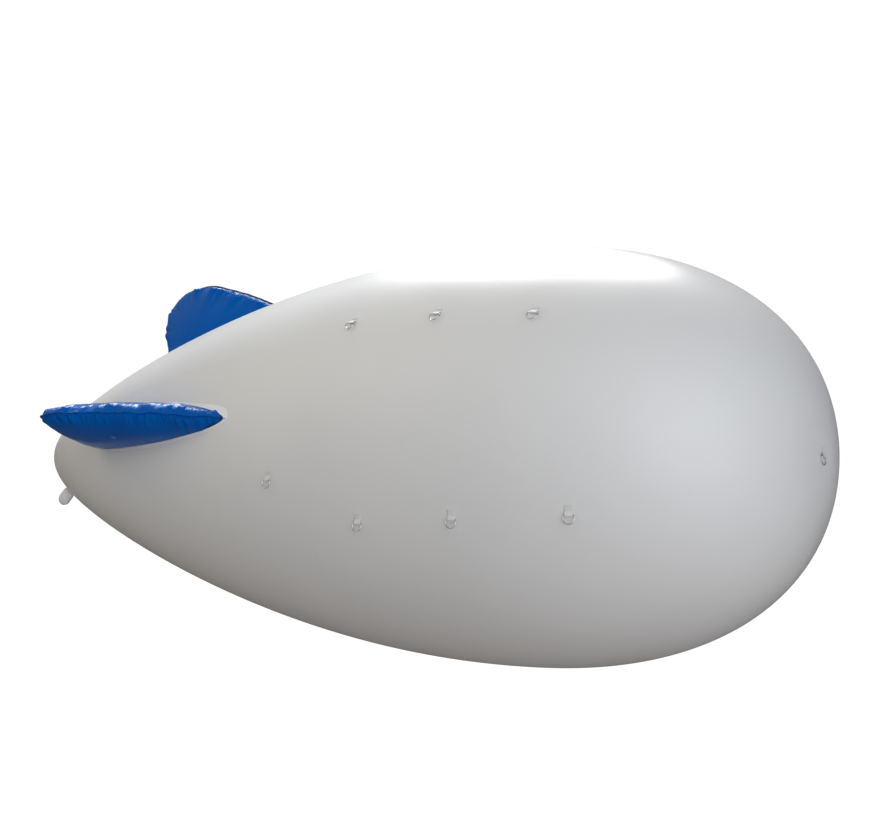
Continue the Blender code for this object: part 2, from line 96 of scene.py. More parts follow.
def merge(bm, distance=1e-6):
    bmesh.ops.remove_doubles(bm, verts=bm.verts[:], dist=distance)


def finished(bm, name, *mats, place=None, smooth=True, recalc=True):
    if place:
        bmesh.ops.transform(bm, matrix=place, verts=bm.verts[:])
    if recalc:
        bmesh.ops.recalc_face_normals(bm, faces=bm.faces[:])
    mesh = bpy.data.meshes.new(name)
    bm.to_mesh(mesh)
    bm.free()
    for polygon in mesh.polygons:
        polygon.use_smooth = smooth
    for mat in mats:
        mesh.materials.append(mat)
    piece = bpy.data.objects.new(name, mesh)
    bpy.context.scene.collection.objects.link(piece)
    return piece


def settle(piece, slot, *nodes, body="envelope"):
    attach(piece, body)
    if nodes:
        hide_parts(*nodes)


def lineOfVerts(bm, points):
    verts = [bm.verts.new(point) for point in points]
    for a, b in zip(verts, verts[1:]):
        bm.edges.new((a, b))
    return verts


def lathe(bm, axis, angle, steps):
    full = abs(angle - 2 * pi) < 1e-6
    bmesh.ops.spin(bm, geom=bm.verts[:] + bm.edges[:], cent=(0, 0, 0), axis=axis, dvec=(0, 0, 0),
                   angle=angle, steps=steps, use_merge=full, use_duplicate=False)
    merge(bm)


def packed(bm):
    # a copy without gaps in its storage, so that vertices made later get later numbers
    copied = bm.copy()
    bm.free()
    return copied


def faceAway(bm, away):
    # turns an open skin so that its faces point along away(centre)
    bmesh.ops.recalc_face_normals(bm, faces=bm.faces[:])
    bm.normal_update()
    if sum(face.normal.dot(away(face.calc_center_median())) for face in bm.faces) < 0:
        bmesh.ops.reverse_faces(bm, faces=bm.faces[:])
        bm.normal_update()


def grownEdge(bm, edges):
    # pulls a new row out of an open edge: its vertices, and the edges between them
    grown = bmesh.ops.extrude_edge_only(bm, edges=edges)["geom"]
    verts = {g for g in grown if isinstance(g, bmesh.types.BMVert)}
    return verts, [g for g in grown if isinstance(g, bmesh.types.BMEdge) and all(v in verts for v in g.verts)]


def giveWall(bm, thickness):
    bmesh.ops.solidify(bm, geom=bm.faces[:], thickness=thickness)
    bmesh.ops.recalc_face_normals(bm, faces=bm.faces[:])


def gridOf(bm, cellsU, cellsV):
    # grid whose vertices' x and y run from 0 to 1
    bmesh.ops.create_grid(bm, x_segments=cellsU, y_segments=cellsV, size=0.5)
    bmesh.ops.translate(bm, verts=bm.verts[:], vec=(0.5, 0.5, 0.0))


def wireAlong(points, radius, closed=False, resolution=3):
    curve = bpy.data.curves.new("wire", "CURVE")
    curve.dimensions = "3D"
    curve.bevel_depth = radius
    curve.bevel_resolution = resolution
    curve.use_fill_caps = not closed
    spline = curve.splines.new("POLY")
    spline.points.add(len(points) - 1)
    for slot, point in zip(spline.points, points):
        slot.co = (*point, 1.0)
    spline.use_cyclic_u = closed
    made = bpy.data.objects.new("wire", curve)
    bpy.context.scene.collection.objects.link(made)
    mesh = bpy.data.meshes.new_from_object(made.evaluated_get(bpy.context.evaluated_depsgraph_get()))
    bpy.data.objects.remove(made)
    bm = bmesh.new()
    bm.from_mesh(mesh)
    bpy.data.meshes.remove(mesh)
    merge(bm)
    return bm


def pour(bm, other, index=0):
    # adds the other's faces to bm, with the given material
    for face in other.faces:
        face.material_index = index
    mesh = bpy.data.meshes.new("part")
    other.to_mesh(mesh)
    other.free()
    bm.from_mesh(mesh)
    bpy.data.meshes.remove(mesh)


class Finish:
    # a Principled material and the nodes that feed it
    def __init__(self, name, colour, roughness, metallic=0.0, ior=1.5):
        self.material = bpy.data.materials.new(name)
        self.material.use_nodes = True
        self.tree = self.material.node_tree
        self.shader = self.tree.nodes["Principled BSDF"]
        for socket, value in (("Base Color", (*colour, 1.0)), ("Roughness", roughness),
                              ("Metallic", metallic), ("IOR", ior)):
            self.shader.inputs[socket].default_value = value
        self.height = None

    def node(self, kind, **settings):
        made = self.tree.nodes.new(kind)
        for name, value in settings.items():
            setattr(made, name, value)
        return made

    def feed(self, source, target):
        self.tree.links.new(source, target)

    def coords(self, stretch=(1, 1, 1), source="Object"):
        texture = self.node("ShaderNodeTexCoord")
        mapping = self.node("ShaderNodeMapping")
        mapping.inputs["Scale"].default_value = stretch
        self.feed(texture.outputs[source], mapping.inputs["Vector"])
        return mapping.outputs["Vector"]

    def cloud(self, scale, stretch=(1, 1, 1), detail=3.0, distortion=0.0, source="Object"):
        made = self.node("ShaderNodeTexNoise")
        for socket, value in (("Scale", scale), ("Detail", detail), ("Distortion", distortion)):
            made.inputs[socket].default_value = value
        self.feed(self.coords(stretch, source), made.inputs["Vector"])
        return made.outputs["Fac"]

    def folds(self, scale, width, stretch=(1, 1, 1)):
        # thin lines where the sheet was folded, along the edges of Voronoi cells
        cells = self.node("ShaderNodeTexVoronoi", feature="DISTANCE_TO_EDGE")
        cells.inputs["Scale"].default_value = scale
        self.feed(self.coords(stretch), cells.inputs["Vector"])
        return self.ranged(cells.outputs["Distance"], 0.0, width, 0.0, 1.0)

    def ranged(self, value, low, high, newLow, newHigh):
        made = self.node("ShaderNodeMapRange")
        for socket, number in (("From Min", low), ("From Max", high),
                               ("To Min", newLow), ("To Max", newHigh)):
            made.inputs[socket].default_value = number
        self.feed(value, made.inputs["Value"])
        return made.outputs["Result"]

    def maths(self, operation, first, second=None):
        made = self.node("ShaderNodeMath", operation=operation)
        for socket, value in zip(made.inputs, (first, second)):
            if value is None:
                continue
            if isinstance(value, (int, float)):
                socket.default_value = value
            else:
                self.feed(value, socket)
        return made.outputs["Value"]

    def tones(self, value, low, high, dark, light):
        mix = self.node("ShaderNodeMix", data_type="RGBA")
        self.feed(self.ranged(value, low, high, 0.0, 1.0), mix.inputs[0])
        mix.inputs[6].default_value = (*dark, 1.0)
        mix.inputs[7].default_value = (*light, 1.0)
        self.feed(mix.outputs[2], self.shader.inputs["Base Color"])

    def gloss(self, value, low, high, newLow, newHigh):
        self.feed(self.ranged(value, low, high, newLow, newHigh), self.shader.inputs["Roughness"])

    def bump(self, value, distance, strength=1.0):
        made = self.node("ShaderNodeBump")
        made.inputs["Distance"].default_value = distance
        made.inputs["Strength"].default_value = strength
        self.feed(value, made.inputs["Height"])
        if self.height:
            self.feed(self.height, made.inputs["Normal"])
        self.height = made.outputs["Normal"]
        self.feed(self.height, self.shader.inputs["Normal"])


def seamDistance(film):
    # metres to the nearest lengthwise seam
    texture = film.node("ShaderNodeTexCoord")
    parts = film.node("ShaderNodeSeparateXYZ")
    film.feed(texture.outputs["Object"], parts.inputs["Vector"])
    y, z = parts.outputs["Y"], parts.outputs["Z"]
    turned = film.maths("ADD", film.maths("ARCTAN2", z, y), 4 * pi - hull["firstSeam"])
    offSeam = film.maths("PINGPONG", turned, pi / hull["gores"])
    squares = film.maths("ADD", film.maths("POWER", y, 2.0), film.maths("POWER", z, 2.0))
    return film.maths("MULTIPLY", offSeam, film.maths("SQRT", squares))


def hullFilm():
    film = Finish("hullFilm", (0.80, 0.80, 0.79), 0.32)
    film.tones(film.cloud(1.1, detail=4), 0.35, 0.65, (0.785, 0.785, 0.78), (0.815, 0.815, 0.81))
    film.gloss(film.cloud(2.3, detail=5), 0.3, 0.7, 0.28, 0.35)
    film.bump(film.cloud(2.6, (0.6, 1.3, 1.3), 1), 0.006, 0.25)
    film.bump(film.folds(2.6, 0.025, (0.7, 1.0, 1.0)), 0.0004, 0.2)
    # short creases beside the lengthwise welds
    nearSeam = film.maths("POWER", film.ranged(seamDistance(film), 0.0, 0.11, 1.0, 0.0), 2.0)
    creases = film.cloud(16.0, (1.0, 0.22, 0.22), 2)
    film.bump(film.maths("MULTIPLY", creases, nearSeam), 0.0022, 0.5)
    film.bump(film.cloud(240, detail=2), 0.0002, 0.2)
    return film.material


def finFilm():
    blue = Finish("finFilm", (0.0, 0.10, 0.44), 0.18, ior=1.12)
    blue.tones(blue.cloud(3.0, detail=5), 0.3, 0.7, (0.0, 0.098, 0.43), (0.0, 0.116, 0.49))
    blue.gloss(blue.cloud(5.0, detail=5), 0.3, 0.7, 0.14, 0.24)
    blue.bump(blue.cloud(5.0, detail=1), 0.004, 0.25)
    # UV runs in metres: u along the seam, v away from it, so the fine crinkles stay by the weld
    across = blue.node("ShaderNodeSeparateXYZ")
    blue.feed(blue.coords(source="UV"), across.inputs["Vector"])
    nearSeam = blue.maths("POWER", blue.ranged(across.outputs["Y"], 0.0, 0.07, 1.0, 0.0), 2.0)
    crinkles = blue.cloud(1.0, (70, 14, 1), 3, 0.8, "UV")
    blue.bump(blue.maths("MULTIPLY", crinkles, nearSeam), 0.012, 1.0)
    blue.bump(blue.cloud(300, detail=2), 0.0001, 0.2)
    return blue.material


def padFilm():
    film = Finish("padFilm", (0.80, 0.80, 0.79), 0.34)
    film.tones(film.cloud(25.0, detail=3), 0.35, 0.65, (0.785, 0.785, 0.78), (0.815, 0.815, 0.81))
    # faint rings left by the round welder
    rings = film.node("ShaderNodeTexWave", wave_type="RINGS", rings_direction="Z")
    rings.inputs["Scale"].default_value = 7.0
    centred = film.node("ShaderNodeMapping")
    centred.inputs["Location"].default_value = (-0.5, -0.5, 0.0)
    film.feed(film.coords(source="UV"), centred.inputs["Vector"])
    film.feed(centred.outputs["Vector"], rings.inputs["Vector"])
    film.bump(rings.outputs["Fac"], 0.0001, 0.1)
    film.bump(film.cloud(300, detail=2), 0.0002, 0.3)
    return film.material


def strapWeave():
    webbing = Finish("strapWeave", (0.76, 0.76, 0.75), 0.6)

    def bands(direction, scale):
        made = webbing.node("ShaderNodeTexWave", wave_type="BANDS", bands_direction=direction)
        made.inputs["Scale"].default_value = scale
        webbing.feed(webbing.coords(source="UV"), made.inputs["Vector"])
        return made.outputs["Fac"]

    weave = webbing.maths("MULTIPLY", bands("Y", 26.0), webbing.ranged(bands("X", 7.0), 0.0, 1.0, 0.55, 1.0))
    webbing.bump(weave, 0.0003, 0.6)
    webbing.tones(weave, 0.0, 1.0, (0.72, 0.72, 0.71), (0.80, 0.80, 0.79))
    return webbing.material


# Finishes without a pattern of their own. Tones and gloss follow a cloud: its scale and detail, then for tones
# its low and high end, and the two limits; grain is scale, detail, depth and strength
evenFinishes = dict(
    discFilm=dict(
        colour=(0.77, 0.77, 0.76), roughness=0.36, gloss=(9.0, 4, 0.32, 0.42),
        tones=(6.0, 4, 0.35, 0.65, (0.775, 0.775, 0.77), (0.805, 0.805, 0.80)),
        grain=((14.0, 2, 0.0015, 0.3), (260, 2, 0.0002, 0.25))),
    # weld tape film, lighter and bluer than the hull: painted highlight and painted reflection of the blue fin
    tapeFilm=dict(
        colour=(0.90, 0.92, 0.96), roughness=0.16, gloss=(30.0, 3, 0.12, 0.24),
        tones=(20.0, 3, 0.35, 0.65, (0.88, 0.905, 0.95), (0.93, 0.95, 0.98)),
        grain=((60.0, 2, 0.0012, 0.4),)),
    # dark navy film: painted shade, for the shadow side of the fins' welded edges and the shade along the fin
    # roots
    flangeFilm=dict(
        colour=(0.0, 0.035, 0.14), roughness=0.38, gloss=(60.0, 2, 0.32, 0.48),
        tones=(40.0, 3, 0.3, 0.7, (0.0, 0.02, 0.085), (0.0, 0.045, 0.17)),
        grain=((420, 1, 0.0003, 0.5),)),
    stitchThread=dict(
        colour=(0.70, 0.69, 0.67), roughness=0.65,
        tones=(900.0, 2, 0.3, 0.7, (0.70, 0.695, 0.68), (0.80, 0.795, 0.78)),
        grain=((1600.0, 1, 0.0001, 0.5),)),
    ringSteel=dict(
        colour=(0.70, 0.70, 0.70), roughness=0.20, metallic=1.0, gloss=(90.0, 4, 0.12, 0.32),
        tones=(120.0, 3, 0.3, 0.7, (0.60, 0.60, 0.61), (0.74, 0.74, 0.74)),
        grain=((700.0, 2, 0.0001, 0.25),)),
    valvePlastic=dict(
        colour=(0.02, 0.14, 0.42), roughness=0.22, gloss=(200.0, 2, 0.16, 0.30),
        tones=(60.0, 3, 0.3, 0.7, (0.015, 0.12, 0.38), (0.03, 0.17, 0.47)),
        grain=((600, 2, 0.0001, 0.4),)),
    tieCord=dict(
        colour=(0.70, 0.69, 0.66), roughness=0.8,
        tones=(500.0, 2, 0.3, 0.7, (0.60, 0.59, 0.56), (0.74, 0.73, 0.70)),
        grain=((700, 2, 0.0004, 0.7),)),
)


def evenFinish(name, colour, roughness, tones, grain, gloss=None, metallic=0.0):
    made = Finish(name, colour, roughness, metallic)
    scale, detail, *limits = tones
    made.tones(made.cloud(scale, detail=detail), *limits)
    if gloss:
        scale, detail, *limits = gloss
        made.gloss(made.cloud(scale, detail=detail), 0.3, 0.7, *limits)
    for scale, detail, depth, strength in grain:
        made.bump(made.cloud(scale, detail=detail), depth, strength)
    return made.material


finishes = {made.name: made for made in (hullFilm(), finFilm(), padFilm(), strapWeave())}
finishes.update({name: evenFinish(name, **look) for name, look in evenFinishes.items()})
print("finishes:", ", ".join(finishes))


# Hull: eight panels, each lapped over its neighbour's edge and welded

noseRimX = stationWhere(hull["noseDiscRadius"], hull["noseX"], hull["widestX"])


def bodyStations():
    aftTurn = asin((hull["widestX"] - hull["tailDomeX"]) / hull["tailLength"])
    noseTurn = asin((noseRimX - hull["widestX"]) / hull["noseLength"])
    aft = [hull["widestX"] - hull["tailLength"] * sin(aftTurn * (1 - i / hull["aftStations"]))
           for i in range(hull["aftStations"])]
    return aft + [hull["widestX"] + hull["noseLength"] * sin(noseTurn * i / hull["noseStations"])
                  for i in range(hull["noseStations"] + 1)]


def radially(point):
    return Vector((0.0, point.y, point.z))


def shadeAsHull(piece, outerCount):
    # exact normals of the turned outline, so that light runs on smoothly from panel to panel
    normals = []
    for v in piece.data.vertices:
        r = max(hypot(v.co.y, v.co.z), 1e-9)
        along, out = outlineNormal(min(max(v.co.x, hull["tailX"]), hull["noseX"]))
        side = 1.0 if v.index < outerCount else -1.0
        normals.append(Vector((along, out * v.co.y / r, out * v.co.z / r)) * side)
    piece.data.normals_split_custom_set_from_vertices(normals)


def makePanel(number):
    sweep = 2 * pi / hull["gores"]
    start = hull["firstSeam"] + (number - 1) * sweep

    def past(v):
        return (atan2(v.co.z, v.co.y) - start - sweep + pi) % (2 * pi) - pi

    bm = bmesh.new()
    lineOfVerts(bm, [onHull(x, start) for x in bodyStations()])
    lathe(bm, (1, 0, 0), sweep, hull["columns"])
    edge = [e for e in bm.edges if e.is_boundary and all(abs(past(v)) < 1e-4 for v in e.verts)]
    for width in (hull["lapRise"], hull["lapWidth"] - hull["lapRise"]):
        verts, edge = grownEdge(bm, edge)
        for v in verts:
            v.co = Matrix.Rotation(width / hypot(v.co.y, v.co.z), 3, "X") @ v.co
    for v in bm.verts:
        if past(v) > 1e-4:
            v.co = onHull(v.co.x, atan2(v.co.z, v.co.y), hull["lapLift"])
    faceAway(bm, radially)
    bm = packed(bm)
    outer = len(bm.verts)
    giveWall(bm, hull["film"])
    piece = finished(bm, f"panel_{number}", finishes["hullFilm"], recalc=False)
    shadeAsHull(piece, outer)
    settle(piece, "hull_film", f"gore_{number}")


def makeCap(name, rimX, poleX, node):
    # cap that laps over the panels' ends
    toPole = 1.0 if poleX > rimX else -1.0
    rim = hullRadius(rimX)
    lapX = stationWhere(rim + hull["capLap"], poleX, hull["widestX"])
    rings = [stationWhere(rim * i / hull["capRings"], poleX, hull["widestX"])
             for i in range(1, hull["capRings"] + 1)]
    bm = bmesh.new()
    lineOfVerts(bm, [Vector((poleX + toPole * hull["capLift"], 0, 0))]
                + [onHull(x, 0.0, hull["capLift"]) for x in rings + [lapX]])
    lathe(bm, (1, 0, 0), 2 * pi, hull["gores"] * hull["capColumns"])
    faceAway(bm, lambda c: Vector((toPole, c.y, c.z)))
    bm = packed(bm)
    outer = len(bm.verts)
    giveWall(bm, hull["film"])
    piece = finished(bm, name, finishes["discFilm"], recalc=False)
    shadeAsHull(piece, outer)
    settle(piece, "disc_film", node)


for number in range(1, hull["gores"] + 1):
    makePanel(number)
makeCap("noseDisc", noseRimX, hull["noseX"], "nose_disc")
makeCap("tailDome", hull["tailDomeX"], hull["tailX"], "tail_dome")
print("hull panels and caps made")


# Fins: two skins welded round their edge, puckered by the pressure
fin = dict(
    aftX=-2.2244, tipX=-1.9219, tipRadius=1.0681, cornerRadius=0.8899,
    cornerPower=2.1, frontPower=1.37, frontSink=0.032,
    # half thickness, and how it falls off along the chord and the span
    swell=0.145, swellSpan=0.12, foreAft=0.82, acrossPower=2.5, fullest=0.28,
    rootPinch=0.48, rootDepth=0.08,
    chordCells=400, spanCells=110, merge=2e-5,
    seamSteps=700, uprightSteps=100, archSteps=600,
    skinFoot=0.022, seamFoot=0.02,     # how far the skins and the seam run on inside the hull
    leastHalf=0.0003, foldFrom=0.02,   # the folds fade where the pillow is thinner than this
    rootLean=0.060, leanBelow=0.86, leanSpan=0.22, leanMost=1.3, leanRun=0.30,    # trailing edge bent forward
    sagRun=0.5,                        # a side fin's front bends off its plane over this run
    rootFolds=(0.075, 0.2, 0.0025, 0.05),    # spacing along and up from the hull, height, reach
    scallop=(0.05, 0.0035, 0.4),       # the edge's spacing and depth in the fin's plane, shift inwards
    sway=(0.08, 0.010),                # and out of the plane
    edgeReach=0.03,                    # how far the edge's own waves run into the skins
    valveX=-1.6854, valveRadius=0.8899, valveCalm=(0.03, 0.09),    # smooth near the valve, creased beyond
    # clock angle in degrees; the valve's side is the lower one on the side fins
    places=(dict(label="Port", clock=0.6, frontX=-0.790, valveSide=-1, sag=-0.016),
            dict(label="Starboard", clock=179.4, frontX=-0.790, valveSide=1, sag=0.016),
            dict(label="Top", clock=90, frontX=-1.200, valveSide=-1, sag=0.0)),
)
pucker = dict(
    waves=((0.034, 0.0110, 0.030), (0.078, 0.0210, 0.052), (0.16, 0.0120, 0.090)),    # spacing, depth, reach
    lean=0.35, leanSpacing=0.3,        # creases lean to and fro along the seam
    stretch=4,                         # length of a crease against its spacing
    pillow=2.4, crease=0.55,           # rise of the rounds and drop of the creases, as parts of the depth
    weldRun=0.006,                     # the skins leave the weld flat over this run
    underside=0.7,                     # shorter reach on the side fins' lower skins
)
flange = dict(width=0.010, underSkin=0.003, rows=5, film=0.0012, wave=0.0016, waveSpacing=0.022,
              printedPart=0.24)        # part of a side fin's edge, from the rear, coloured dark as painted shade
rootTape = dict(onFin=0.008, onHull=0.016, atFront=0.050, frontRun=0.38, sideRun=0.02,
                lift=0.0010, foldLift=1.8, wall=0.0008, steps=240, rows=4)
finValve = dict(flange=0.013, neck=0.0080, knurls=18, knurlDepth=0.03, height=0.0055, probe=0.004)


def finOuter(x, frontX, inset=0.0):
    tip, aftX, corner = fin["tipRadius"] - inset, fin["aftX"] + inset, fin["cornerRadius"] - inset
    if x < fin["tipX"]:
        part = min(max((fin["tipX"] - x) / (fin["tipX"] - aftX), 0.0), 1.0)
        return corner + (tip - corner) * (1 - part ** fin["cornerPower"]) ** (1 / fin["cornerPower"])
    part = min((x - fin["tipX"]) / (frontX - fin["tipX"]), 1.0)
    return tip - (tip - hullRadius(frontX) + fin["frontSink"]) * part ** fin["frontPower"]


def finHalf(x, rho, frontX, inset=0.0):
    root = hullRadius(x) - fin["rootDepth"]
    out = min(max((rho - root) / (finOuter(x, frontX, inset) - root), 0.0), 1.0)
    span = finOuter(x, frontX) - root
    chord = min(max((x - fin["aftX"] - inset) / (frontX - fin["aftX"] - inset), 0.0), 1.0)
    power = fin["acrossPower"]
    across = max(1 - abs(2 * chord ** fin["foreAft"] - 1) ** power, 0.0) ** (1 / power)
    if out < fin["fullest"]:
        along = 1 - fin["rootPinch"] * (1 - out / fin["fullest"]) ** 2
    else:
        along = sqrt(1 - ((out - fin["fullest"]) / (1 - fin["fullest"])) ** 2)
    return fin["swell"] * across * along * span / (span + fin["swellSpan"])


def finSeam(frontX, inset):
    # the fin's edge from its trailing root to its front: point, length so far, outward normal
    steps, upright, arch = fin["seamSteps"], fin["uprightSteps"], fin["archSteps"]
    aftX = fin["aftX"] + inset
    foot, corner = hullRadius(aftX) - fin["seamFoot"], finOuter(aftX, frontX, inset)
    raw = [Vector((aftX, foot + (corner - foot) * i / upright, 0)) for i in range(upright)]
    raw += [Vector((x, finOuter(x, frontX, inset), 0)) for x in
            (aftX + (frontX - aftX) * (1 - cos(pi * i / arch)) / 2 for i in range(arch + 1))]
    lengths = [0.0]
    for a, b in zip(raw, raw[1:]):
        lengths.append(lengths[-1] + (b - a).length)
    points, j = [], 0
    for i in range(steps + 1):
        target = lengths[-1] * i / steps
        while j < len(raw) - 2 and lengths[j + 1] < target:
            j += 1
        points.append(raw[j].lerp(raw[j + 1], (target - lengths[j]) / max(lengths[j + 1] - lengths[j], 1e-9)))
    seam = []
    for i, point in enumerate(points):
        run = points[min(i + 1, steps)] - points[max(i - 1, 0)]
        seam.append((point, lengths[-1] * i / steps, Vector((-run.y, run.x, 0)).normalized()))
    return seam


def leant(x, rho):
    # station of the fin's point once its trailing edge is bent forward to its root
    below = max(fin["leanBelow"] - rho, 0.0) / fin["leanSpan"]
    back = max(1 - (x - fin["aftX"]) / fin["leanRun"], 0.0)
    return x + fin["rootLean"] * min(below, fin["leanMost"]) ** 2 * back ** 2


def sagAt(x, this):
    return this["sag"] * easeIn(x, this["frontX"] - fin["sagRun"], this["frontX"])


# The last numbers of the noise points below only keep one set of waves apart from the next

def scallopAt(length, seed):
    spacing, depth, shift = fin["scallop"]
    return depth * (noise.noise(Vector((length / spacing, seed, 3.3))) - shift)


def swayAt(length, seed):
    spacing, depth = fin["sway"]
    return depth * noise.noise(Vector((length / spacing, seed, 21.7)))


def puckerAt(length, away, side, calm, seed):
    # round pillows between sharp creases that run square to the seam and fade with the distance from it
    total = 0.0
    for k, (spacing, depth, reach) in enumerate(pucker["waves"]):
        lean = pucker["lean"] * away * noise.noise(Vector((length / pucker["leanSpacing"], seed, k)))
        n = noise.noise(Vector(((length + lean) / spacing, away / (pucker["stretch"] * spacing),
                                seed + 7.7 * k + side * 2.1)))
        total += depth * (pucker["pillow"] * abs(n) - pucker["crease"]) * exp(-away / (reach * calm))
    return total * (1 - exp(-away / pucker["weldRun"]))


def finSkin(this, side, seam, tree, seed):
    frontX, inset = this["frontX"], flange["width"]
    aftX = fin["aftX"] + inset
    valve = Vector((fin["valveX"], fin["valveRadius"], 0))
    spacing, spread, height, reach = fin["rootFolds"]
    creaseReach = pucker["underside"] if this["sag"] and side == this["valveSide"] else 1.0
    bm = bmesh.new()
    gridOf(bm, fin["chordCells"], fin["spanCells"])
    uv = bm.loops.layers.uv.new("UVMap")
    for v in bm.verts:
        # cells crowd to the fin's edge
        chord, span = 0.5 * v.co.x + 0.25 - 0.25 * cos(pi * v.co.x), sin(pi / 2 * v.co.y)
        x = aftX + (frontX - aftX) * chord
        foot = hullRadius(x) - fin["skinFoot"]
        flat = Vector((x, foot + (finOuter(x, frontX, inset) - foot) * span, 0))
        _, i, away = tree.find(flat)
        _, length, normal = seam[i]
        for loop in v.link_loops:
            loop[uv].uv = (length, away)
        z = 0.0
        if 1e-6 < chord < 1 - 1e-6 and span < 1 - 1e-6:
            z = finHalf(x, flat.y, frontX, inset)
            calm = 1.0 if side != this["valveSide"] else easeIn((flat - valve).length, *fin["valveCalm"])
            off = max(flat.y - hullRadius(x), 0.0)
            root = height * noise.noise(Vector((x / spacing, off / spread, seed + 40 + side))) * exp(-off / reach)
            folds = puckerAt(length, away, side, creaseReach, seed) + root
            z = max(z + calm * folds * easeIn(z, 0.0, fin["foldFrom"]), fin["leastHalf"])
        fade = exp(-away / fin["edgeReach"])
        flat += normal * scallopAt(length, seed) * fade
        bend = swayAt(length, seed) * fade + sagAt(flat.x, this)
        v.co = Vector((leant(flat.x, flat.y), flat.y, side * z + bend))
    return bm


def makeFlange(this, seam, turn, seed):
    # welded edge outside the air space
    last = len(seam) - 1
    bm = bmesh.new()
    gridOf(bm, last, flange["rows"])
    for face in bm.faces:
        # faces in the dark film carry painted shade; the rest of a side fin's edge takes the plain fin film
        plain = this["sag"] and face.calc_center_median().x > flange["printedPart"]
        face.material_index = 1 if plain else 0
    for v in bm.verts:
        point, length, normal = seam[round(v.co.x * last)]
        wave = flange["wave"] * noise.noise(Vector((length / flange["waveSpacing"], seed, 9.1)))
        out = -flange["underSkin"] + (flange["width"] + flange["underSkin"]) * v.co.y
        spot = point + normal * (out + scallopAt(length, seed))
        bend = wave * v.co.y + swayAt(length, seed) + sagAt(spot.x, this)
        v.co = Vector((leant(spot.x, spot.y), spot.y, bend))
    merge(bm)
    faceAway(bm, lambda c: Vector((0, 0, 1)))
    giveWall(bm, flange["film"])
    piece = finished(bm, f"fin{this['label']}Flange", finishes["flangeFilm"], finishes["finFilm"], place=turn)
    settle(piece, "fin_film")


def finFoot(frontX):
    # where the fin's skin meets the hull: station, radius and angle off the fin's plane, rear to front
    inset = flange["width"]
    aftX = fin["aftX"] + inset
    low, high = aftX, frontX
    for _ in range(50):
        middle = 0.5 * (low + high)
        low, high = (middle, high) if finOuter(middle, frontX, inset) > hullRadius(middle) else (low, middle)
    foot = []
    for i in range(rootTape["steps"] + 1):
        x = aftX + (low - aftX) * (1 - cos(pi * i / rootTape["steps"])) / 2
        near, far = hullRadius(x) - fin["rootDepth"], finOuter(x, frontX, inset)
        for _ in range(40):
            rho = 0.5 * (near + far)
            inside = hypot(rho, finHalf(x, rho, frontX, inset)) < hullRadius(x)
            near, far = (rho, far) if inside else (near, rho)
        foot.append((x, rho, atan2(finHalf(x, rho, frontX, inset), rho)))
    return foot


def makeRootTape(this, turn):
    # one row up the fin's skin, in dark film as painted shade along the junction, the others over the hull in the
    # lighter tape film
    frontX, rows = this["frontX"], rootTape["rows"]
    foot = finFoot(frontX)
    loop = [(*spot, 1) for spot in foot] + [(*spot, -1) for spot in foot[-2:0:-1]]
    count = len(loop)
    flat = [Vector((leant(x, rho), side * a * hullRadius(x) + sagAt(x, this), 0))
            for x, rho, a, side in loop]
    bm = bmesh.new()
    gridOf(bm, count, rows)
    for face in bm.faces:
        # row 0, on the fin's skin, takes the dark film: painted shade at the junction
        face.material_index = 0 if face.calc_center_median().y < 1 / rows else 1
    for v in bm.verts:
        i, row = round(v.co.x * count) % count, round(v.co.y * rows)
        x, rho, a, side = loop[i]
        if row == 0:
            up = min(rho + rootTape["onFin"], finOuter(x, frontX))
            half = side * (finHalf(x, up, frontX, flange["width"]) + rootTape["lift"])
            v.co = Vector((leant(x, up), up, half + sagAt(x, this)))
            continue
        run = flat[(i + 2) % count] - flat[i - 2]
        normal = Vector((-run.y, run.x, 0)).normalized()
        wide = 0.0
        if this["sag"]:
            # wide at the front of a side fin, on its upper side only: the bright tape there stands for a painted
            # highlight
            upper = easeIn(-this["valveSide"] * side * a * rho, -rootTape["sideRun"], rootTape["sideRun"])
            wide = easeIn(x, frontX - rootTape["frontRun"], frontX) * upper
        width = rootTape["onHull"] + (rootTape["atFront"] - rootTape["onHull"]) * wide
        spot = flat[i] + normal * width * (row - 1) / (rows - 1)
        lift = rootTape["lift"] * (rootTape["foldLift"] if row == 1 else 1.0)
        v.co = onHull(spot.x, spot.y / hullRadius(spot.x), lift)
    merge(bm)
    faceAway(bm, radially)
    giveWall(bm, rootTape["wall"])
    piece = finished(bm, f"fin{this['label']}RootTape", finishes["flangeFilm"], finishes["tapeFilm"], place=turn)
    settle(piece, "fin_film")


